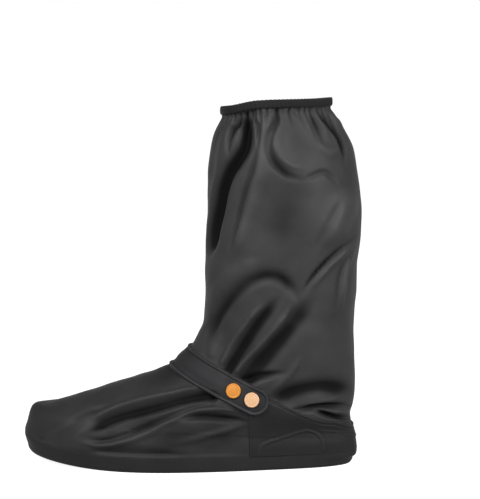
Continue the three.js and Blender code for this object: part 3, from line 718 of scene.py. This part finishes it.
def layered(angle, level, base, wall, edge, bead, hem_width, hem_rise, follow=1.0, painted_light_gain=3.0):
    """Points of a layer's outside, rolled at its hem and turned under at its edge, and how light they are
    painted.

    The layer takes up a share of the folds below it; its raised hem and beads are painted paler as
    highlights, and its groove and turned-under edge darker as painted shade.
    """
    raised, turned = hem(edge, hem_width, hem_rise)
    smooth_points = smooth_cover(angle, level)
    folds = relief(smooth_points, angle, level) * follow
    out = folds + base + (wall + raised) * (1 - turned) - EDGE_TUCK * turned + bead
    points = smooth_points + outward(angle, level) * out[:, None]
    # Painted highlight on the raised hem and beads, scaled by the gain, and painted shade at the turned-under
    # edge.
    return points, folds + painted_light_gain * (raised + bead) - 1.8 * turned


# The arch on each side of the heel, seen from the side.
ARCH = [
    (70, 17), (73, 25.7), (88, 31), (111.4, 38.2), (118, 37.6),
    (123.6, 34.7), (128, 30), (130.3, 25.1), (131, 18),
]


def arch_bead(points):
    """The height of the bead pressed into each side of the counter."""
    line = along_spline(np.array(ARCH, float), np.linspace(0, len(ARCH) - 1, 90))
    away = np.linalg.norm(points[:, None, [0, 2]] - line[None], axis=2).min(1)
    bead = 0.7 * ridge(away, 0, 1.1) - 0.25 * ridge(away, 2.6, 1.0)
    return bead * smooth(np.abs(points[:, 1]), 12, 24)


COUNTER_SLANT = 0.86  # the way across to the sloping upper edge, for one length straight up


def make_counter():
    """The counter round the heel, with its tabs, up to the line of its upper edge."""

    def rule(up):
        def above(points):
            low = toe_lift(points[:, 0]) + RAND_HEIGHT + 0.35
            return points[:, 2] - (low + up * (counter_top(points[:, 0]) - low))

        return above

    columns, rows = 260, 64
    ups = np.linspace(0, 1, rows + 1)
    front = np.full(rows + 1, COUNTER_FRONT)
    outer = angle_where(OUTER, front, rule(ups))
    inner = angle_where(INNER, front, rule(ups))

    def place(u, v):
        first, last = np.interp(v, ups, outer), np.interp(v, ups, inner)
        angle = first + u * (last - first)
        level = level_where(angle, rule(v))
        spot = smooth_cover(angle, level)
        below_top = counter_top(spot[:, 0]) - spot[:, 2]
        edge = np.minimum(below_top * COUNTER_SLANT, spot[:, 0] - COUNTER_FRONT)
        wall = 0.2 + 1.1 * smooth(v, 0, 0.35)
        # The stitched lines are raised a little and, through the layer, painted paler as highlights.
        stitched = ridge(below_top, 5.2, 0.8) + ridge(below_top, 11.0, 0.8)
        bead = arch_bead(spot) + 0.55 * stitched * smooth(spot[:, 0], 116, 134)
        return layered(angle, level, 0.25, wall, edge, bead, hem_width=2.6, hem_rise=0.5)

    mesh = skin(columns, rows, place, (330, 45))
    piece = finish_piece(mesh, "counter_panel", counter_cloth, 0.8)
    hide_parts("heel_counter")


def strap_edges(spot, up):
    """How far a place on the strap is from the nearest edge, and from the strap's root."""
    from_axis = (up - 0.5) * STRAP_WIDTH
    to_tip = (INSTEP_X + STRAP_REACH + from_axis * STRAP_SLOPE - spot[:, 0]) * STRAP_SLANT
    to_root = to_tip + (STRAP_ROOT_REACH - STRAP_REACH) * STRAP_SLANT
    across = STRAP_WIDTH * np.minimum(up, 1 - up)
    round_end = STRAP_WIDTH / 2 - np.hypot(from_axis, np.maximum(0, STRAP_WIDTH / 2 - to_tip))
    edge = np.minimum(across, np.where(spot[:, 1] < 0, round_end, to_root))
    return np.maximum(edge, 0), to_root


def make_strap():
    """The strap from its stitched root on the inner tab, over the instep, to its round end."""

    def rule(up):
        return lambda points: points[:, 2] - strap_height(points[:, 0]) - (up - 0.5) * STRAP_RISE

    columns, rows = 300, 36
    ups = (1 - np.cos(np.linspace(0, math.pi, rows + 1))) / 2
    set_back = STRAP_WIDTH / 2 * half_round(ups)
    lean = (ups - 0.5) * STRAP_WIDTH * STRAP_SLOPE
    root = angle_where(INNER, INSTEP_X + STRAP_ROOT_REACH + lean, rule(ups))
    tip = angle_where(OUTER, INSTEP_X + STRAP_REACH + lean - set_back, rule(ups)) + 2 * math.pi

    def place(u, v):
        row = np.rint(v * rows).astype(int)
        angle = root[row] + u * (tip[row] - root[row])
        level = level_where(angle, rule(ups[row]))
        spot = smooth_cover(angle, level)
        edge, to_root = strap_edges(spot, ups[row])
        base = 0.8 + 2.2 * smooth(spot[:, 0], COUNTER_FRONT - 24, COUNTER_FRONT - 8)
        stitched = -0.35 * ridge(to_root, 24, 0.9) * (spot[:, 1] >= 0)
        bead = stitched + 0.3 * crumple(spot, 26, 3)
        # A strong gain paints the strap's hem and swells paler as highlights, and its grooves darker as
        # shade.
        return layered(
            angle, level, base, 1.0, edge, bead, hem_width=3.0, hem_rise=0.7, follow=0.3, painted_light_gain=7.0
        )

    mesh = skin(columns, rows, place, (300, 26))
    piece = finish_piece(mesh, "strap_webbing", strap_cloth, 0.5)
    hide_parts("instep_strap")


PLACKET_LENGTH, ZIP_LENGTH, TOOTH_PITCH = 255, 245, 2.6
SLIDER_WIDTH, SLIDER_LENGTH = 6.6, 11


def upright(width, middle, foot, raised, out, wall, columns, rows, round_foot=0.0, top=LAST + 0.02):
    """A strip up the shaft, from a height to the band or another level, with its own raised forms."""

    def place(u, v):
        aside = (u - 0.5) * width
        corner = round_foot * width / 2 * half_round(u)
        low = level_where(np.full(len(u), middle), lambda points: points[:, 2] - foot - corner)
        turned = 1 - smooth(width / 2 - np.abs(aside), 0, 0.8)
        height = out + wall * (1 - turned) - EDGE_TUCK * turned + raised(aside, v)
        points, folds = cover(middle + aside / HALF_DEPTH, low + v * (top - low), height)
        # The value for the painted shade: raised forms painted paler as highlights, sunken seams and
        # turned-under edges darker as shade.
        return points, folds + 2 * (height - out) - 2 * wall

    return skin(columns, rows, place, (width, PLACKET_LENGTH))


def make_placket():
    """The flap beside the zip, with rippled edges, a seam along each and a bar tack near its foot."""

    def raised(aside, v):
        wave = np.sin(v * PLACKET_LENGTH / 7.0 + 1.4 * np.sin(v * 23))
        ripple = 0.25 * wave * ridge(np.abs(aside), 8, 2.2)
        seam = -0.4 * ridge(np.abs(aside), 8.6, 0.5)
        tack = 0.5 * ridge(v, 0.09, 0.006) * (np.abs(aside) < 9)
        roll = 0.45 * ridge(aside, 9.2, 0.9) + 0.45 * ridge(aside, -9.4, 0.8)
        return ripple + seam + tack + roll

    mesh = upright(
        PLACKET_WIDTH, PLACKET_ANGLE, PLACKET_FOOT, raised,
        out=0.4, wall=1.2, columns=40, rows=220, round_foot=0.6,
    )
    piece = finish_piece(mesh, "placket_flap", cloth, 0.6)
    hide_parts("zip_placket")


def make_zip():
    """The closed zip, with its teeth along the middle of its tape."""

    def teeth(aside, v):
        tooth = np.sin(v * ZIP_LENGTH * 2 * math.pi / TOOTH_PITCH)
        return 0.45 * ridge(aside, 0, 1.1) * (0.6 + 0.4 * tooth)

    foot = PLACKET_FOOT + PLACKET_WIDTH / 2
    mesh = upright(ZIP_WIDTH + 1.2, ZIP_ANGLE, foot, teeth, out=0.3, wall=0.8, columns=12, rows=700)
    piece = finish_piece(mesh, "zip_tape", zip_cloth, 0.5)
    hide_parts("zip")


def make_slider():
    """The zip's slider: a rounded body, waisted at its foot, with a bridge along its middle."""
    half, top = SLIDER_WIDTH / 2, LAST - 0.08

    def form(aside, v):
        waist = smooth(np.abs(aside) - half + 1.3 * (1 - smooth(v, 0, 0.55)), -0.7, 0.1)
        crown = 0.5 * (1 - (aside / half) ** 2)
        bridge = 1.1 * ridge(aside, 0, 0.9, 4) * ridge(v, 0.5, 0.3, 6)
        ends = 1 - smooth(v, 0.0, 0.06) * (1 - smooth(v, 0.94, 1))
        return crown + bridge - 1.7 * np.maximum(waist, ends)

    foot = smooth_cover(np.array([ZIP_ANGLE]), np.array([top]))[0, 2] - SLIDER_LENGTH
    mesh = upright(SLIDER_WIDTH, ZIP_ANGLE, foot, form, out=1.1, wall=1.5, columns=26, rows=44, top=top)
    piece = finish_piece(mesh, "zip_slider_body", dark, 0.5)
    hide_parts("zip_slider")


# The band

def rim_outward(angle):
    """Level directions outwards at the band."""
    flat = outward(angle, rim_level(angle)) * np.array([1, 1, 0])
    return flat / np.linalg.norm(flat, axis=1, keepdims=True)


def band_place(angle, out, up):
    """Points at a distance outwards from the band's inside, at a share of its height."""
    points = smooth_cover(angle, rim_level(angle)) + rim_outward(angle) * (out - BAND_WALL / 2)[:, None]
    points[:, 2] += BAND_LIFT + up * (BAND_HEIGHT - BAND_LIFT) + band_rise(angle)
    return points


def make_band():
    """An elastic casing: a soft tube round the top, ruffled all the way round."""

    def place(u, v):
        angle, turn = u * 2 * math.pi, v * 2 * math.pi
        arc = angle * RIM_RADIUS
        wide_ruffle = np.sin(arc * 2 * math.pi / 4.3 + 2.1 * np.sin(arc / 17))
        ruffle = wide_ruffle + 0.5 * np.sin(arc * 2 * math.pi / 2.7 + 1)
        body = 1 + 0.06 * ruffle * (0.6 + 0.4 * np.sin(arc / 9.0))
        out = BAND_WALL / 2 + BAND_WALL / 2 * signed_power(np.cos(turn), 0.8) * body
        up = 0.5 + 0.5 * signed_power(np.sin(turn), 0.65) + 0.02 * ruffle * np.sin(turn)
        # The ruffles' crests are painted paler as highlights and their troughs darker as shade.
        return band_place(angle, out, up), 1.2 * ruffle

    mesh = skin(520, 28, place, (420, 24))
    bmesh.ops.recalc_face_normals(mesh, faces=mesh.faces)
    piece = finish_piece(mesh, "band_casing", band_cloth)
    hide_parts("top_band")


TAB_LENGTH, TAB_HEIGHT = 34, 7.6


def make_band_tab():
    """The tab over the band's ends."""

    def place(u, v):
        angle = PLACKET_ANGLE + (u - 0.5) * TAB_LENGTH / HALF_DEPTH
        from_end, from_side = 0.5 - np.abs(u - 0.5), 0.5 - np.abs(v - 0.5)
        edge = np.minimum(from_end * TAB_LENGTH, from_side * TAB_HEIGHT)
        turned = 1 - smooth(edge, 0, 0.9)
        raised = 0.3 * ridge(edge, 1.1, 0.6)
        out = BAND_WALL + 0.3 + (1.4 + raised) * (1 - turned) - EDGE_TUCK * turned
        # The raised rim is painted paler as a highlight and the turned-under edge darker as shade.
        return band_place(angle, out, 0.5 + (v - 0.5) * 0.8), 2 * raised - turned

    mesh = skin(80, 24, place, (TAB_LENGTH, 8))
    piece = finish_piece(mesh, "band_tab_cloth", band_cloth, 0.6)
    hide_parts("band_tab")


# Fasteners

def stand(mesh, spot, direction):
    """Stands a mesh made at the origin in millimetres on a spot, with its +Z along a direction."""
    turned = Vector(direction).to_track_quat("Z", "Y").to_matrix().to_4x4()
    place = Matrix.Translation(Vector((np.asarray(spot) - ORIGIN) * MM)) @ turned @ Matrix.Scale(MM, 4)
    bmesh.ops.transform(mesh, matrix=place, verts=mesh.verts)


def turned_cap(profile):
    """A round cap, spun from the radii and heights of its profile."""
    mesh = bmesh.new()
    verts = [mesh.verts.new((radius, 0, height)) for radius, height in profile]
    edges = [mesh.edges.new(pair) for pair in zip(verts, verts[1:])]
    bmesh.ops.spin(
        mesh, geom=verts + edges, cent=(0, 0, 0), axis=(0, 0, 1), angle=2 * math.pi, steps=64, use_merge=True
    )
    bmesh.ops.remove_doubles(mesh, verts=mesh.verts, dist=1e-4)
    bmesh.ops.recalc_face_normals(mesh, faces=mesh.faces)
    return mesh


# The radii and heights of a cap's profile, from the middle of its underside to the middle of its top.
CAP = [
    (0, 0), (6.6, 0), (7.0, 0.5), (7.0, 1.2), (6.85, 1.75), (6.5, 2.05), (6.1, 2.12),
    (5.75, 2.02), (5.5, 1.92), (5.2, 1.95), (4.0, 2.08), (2.0, 2.16), (0, 2.18),
]
CAP_WIDTH, BAND_CAP_WIDTH = 14, 8.6
SNAP_SEAT, BAND_SNAP_SEAT = 3.9, 1.9  # how far the caps' undersides stand off the cover and off the band


def make_snaps():
    """The two caps on the strap's middle line."""

    def middle(points):
        return points[:, 2] - strap_height(points[:, 0])

    for name, finish, slot, from_tip in (
        ("snap_front", gold, "gold_snap", SNAP_SETBACK + SNAP_GAP),
        ("snap_rear", pale, "pale_snap", SNAP_SETBACK),
    ):
        x = INSTEP_X + STRAP_REACH - from_tip / STRAP_SLANT
        angle = angle_where(OUTER, np.array([x]), middle)
        level = level_where(angle, middle)
        direction = outward(angle, level)[0]
        mesh = turned_cap(CAP)
        stand(mesh, smooth_cover(angle, level)[0] + direction * SNAP_SEAT, direction)
        piece = finish_piece(mesh, name + "_cap", finish)
        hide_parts(name)


def make_band_snap():
    """The small dark cap on the band's tab."""
    angle = np.array([PLACKET_ANGLE])
    spot = band_place(angle, np.array([BAND_WALL + BAND_SNAP_SEAT]), 0.5)[0]
    scale = BAND_CAP_WIDTH / CAP_WIDTH
    mesh = turned_cap([(radius * scale, height) for radius, height in CAP])
    stand(mesh, spot, rim_outward(angle)[0])
    piece = finish_piece(mesh, "band_snap_cap", dark)
    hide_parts("band_snap")


# The room

def area_light(name, spot, aim, size, power):
    """A square lamp at a spot, turned to what it aims at."""
    light = bpy.data.lights.new(name, "AREA")
    light.shape = "RECTANGLE"
    light.size, light.size_y = size, size
    light.energy = power
    lamp = bpy.data.objects.new(name, light)
    lamp.location = spot
    lamp.rotation_mode = "QUATERNION"
    lamp.rotation_quaternion = (Vector(aim) - Vector(spot)).to_track_quat("-Z", "Y")
    bpy.context.collection.objects.link(lamp)


def make_world():
    """A studio that is white at the horizon and dim overhead, so that the lamps shape the folds."""
    world = bpy.data.worlds.new("studio")
    bpy.context.scene.world = world
    world.use_nodes = True
    tree = world.node_tree
    place = node(tree, "ShaderNodeTexCoord")
    split = node(tree, "ShaderNodeSeparateXYZ")
    heights, strengths = {"From Min": 0.12, "From Max": 0.4}, {"To Min": 1.0, "To Max": 0.12}
    fall = node(tree, "ShaderNodeMapRange", **heights, **strengths)
    tree.links.new(place.outputs["Generated"], split.inputs["Vector"])
    tree.links.new(split.outputs["Z"], fall.inputs["Value"])
    tree.links.new(fall.outputs["Result"], tree.nodes["Background"].inputs["Strength"])
    tree.nodes["Background"].inputs["Color"].default_value = (1, 1, 1, 1)


def make_floor():
    """A white floor that glows fully only away from the part, so that a soft shadow stays under it."""
    mesh = bmesh.new()
    bmesh.ops.create_grid(mesh, x_segments=1, y_segments=1, size=60.0)
    data = bpy.data.meshes.new("floor")
    mesh.to_mesh(data)
    mesh.free()
    floor = bpy.data.objects.new("floor", data)
    bpy.context.collection.objects.link(floor)
    material, tree, shader = new_material("studio_floor")
    shader.inputs["Base Color"].default_value = (0.12, 0.12, 0.12, 1)
    shader.inputs["Roughness"].default_value = 0.9
    shader.inputs["Specular IOR Level"].default_value = 0.1
    shader.inputs["Emission Color"].default_value = (1, 1, 1, 1)
    place = node(tree, "ShaderNodeTexCoord")
    far = node(tree, "ShaderNodeVectorMath", operation="LENGTH")
    distances, strengths = {"From Min": 0.3, "From Max": 1.2}, {"To Min": 0.92, "To Max": 1.0}
    glow = node(tree, "ShaderNodeMapRange", **distances, **strengths)
    tree.links.new(place.outputs["Object"], far.inputs[0])
    tree.links.new(far.outputs["Value"], glow.inputs["Value"])
    tree.links.new(glow.outputs["Result"], shader.inputs["Emission Strength"])
    data.materials.append(material)


def make_room():
    """A white studio with a lamp before the toe, one before the heel and a weak one above."""
    bpy.context.scene.view_settings.view_transform = "Standard"
    make_world()
    make_floor()
    aim = (0.03, 0, 0.15)
    area_light("key", (-0.7, -1.2, 1.25), aim, 0.8, 114)
    area_light("side", (1.2, -1.2, 0.9), aim, 0.8, 97)
    area_light("top", (0.2, 0.2, 1.7), aim, 0.9, 13)


def make_camera():
    """A long lens at about the band's height, which looks a little down at the outer side."""
    data = bpy.data.cameras.new("camera")
    data.lens, data.sensor_width = 96.42, 36
    data.clip_start, data.clip_end = 0.01, 100
    camera = bpy.data.objects.new("camera", data)
    camera.location = (0.09241, -1.27023, 0.357)
    aim = Vector((0.04805, 0, 0.2059)) - camera.location
    camera.rotation_mode = "QUATERNION"
    camera.rotation_quaternion = aim.to_track_quat("-Z", "Y")
    bpy.context.collection.objects.link(camera)
    bpy.context.scene.camera = camera


make_sole()
make_foot()
make_shaft()
make_counter()
make_strap()
make_placket()
make_zip()
make_slider()
make_band()
make_snaps()
make_band_tab()
make_band_snap()
make_room()
make_camera()
